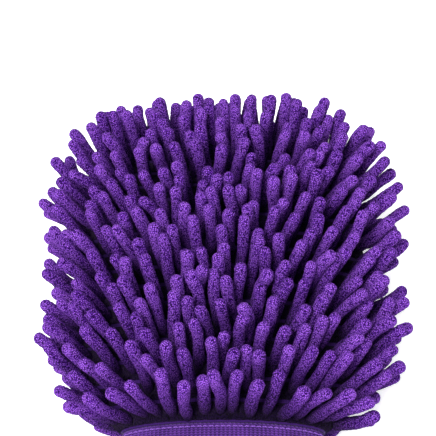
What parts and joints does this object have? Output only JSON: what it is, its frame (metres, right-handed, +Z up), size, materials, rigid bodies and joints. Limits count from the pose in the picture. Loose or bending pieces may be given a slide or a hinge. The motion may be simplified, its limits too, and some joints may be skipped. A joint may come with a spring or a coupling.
{
  "type": "wash mitt",
  "caption": "Chenille microfibre wash mitt: a lined hand pocket covered on both faces in rows of soft fingers, with a rib knit cuff, a hanging loop and a blank label.",
  "frame": {"origin": "on the surface that the mitt rests on, under the middle of its length and width", "axes": "+Y from the cuff to the finger end, +X across the mitt, +Z up through the front face"},
  "size_m": [0.236, 0.295, 0.0922],
  "materials": {
    "chenille": "matte",
    "backing_fabric": "matte",
    "foam": "matte",
    "lining_fabric": "matte",
    "overlock_thread": "matte",
    "rib_knit": "matte",
    "elastic": "matte",
    "binding_tape": "matte",
    "sewing_thread": "satin",
    "webbing": "matte",
    "label_satin": "satin"
  },
  "bodies": {
    "mitt": {"front_chenille_row_01": "chenille", "front_chenille_row_02": "chenille", "front_chenille_row_03": "chenille", "front_chenille_row_04": "chenille", "front_chenille_row_05": "chenille", "front_chenille_row_06": "chenille", "front_chenille_row_07": "chenille", "front_chenille_row_08": "chenille", "front_chenille_row_09": "chenille", "front_chenille_row_10": "chenille", "front_chenille_row_11": "chenille", "front_chenille_row_12": "chenille", "front_chenille_row_13": "chenille", "front_chenille_row_14": "chenille", "front_chenille_row_15": "chenille", "front_chenille_row_16": "chenille", "back_chenille_row_01": "chenille", "back_chenille_row_02": "chenille", "back_chenille_row_03": "chenille", "back_chenille_row_04": "chenille", "back_chenille_row_05": "chenille", "back_chenille_row_06": "chenille", "back_chenille_row_07": "chenille", "back_chenille_row_08": "chenille", "back_chenille_row_09": "chenille", "back_chenille_row_10": "chenille", "back_chenille_row_11": "chenille", "back_chenille_row_12": "chenille", "back_chenille_row_13": "chenille", "back_chenille_row_14": "chenille", "back_chenille_row_15": "chenille", "back_chenille_row_16": "chenille", "front_backing": "backing_fabric", "back_backing": "backing_fabric", "front_foam_pad": "foam", "back_foam_pad": "foam", "front_pocket_lining": "lining_fabric", "back_pocket_lining": "lining_fabric", "side_seam_allowance": "overlock_thread", "rib_knit_cuff": "rib_knit", "cuff_elastic": "elastic", "cuff_seam_binding": "binding_tape", "cuff_join_stitching": "sewing_thread", "cuff_hem_stitching": "sewing_thread", "hang_loop_bar_tack": "sewing_thread", "care_label_stitching": "sewing_thread"},
    "loop": {"hang_loop": "webbing"},
    "label": {"care_label": "label_satin"}
  },
  "joints": [
    {"name": "hang_loop_swing", "type": "hinge", "parent": "mitt", "child": "loop", "pos_m": [0.0613, -0.136, 0.03024], "axis": [0, -1, 0], "range_deg": [-45, 90]},
    {"name": "care_label_flap", "type": "hinge", "parent": "mitt", "child": "label", "pos_m": [-0.0613, -0.11, 0.03305], "axis": [0, 1, 0], "range_deg": [-40, 90]}
  ]
}
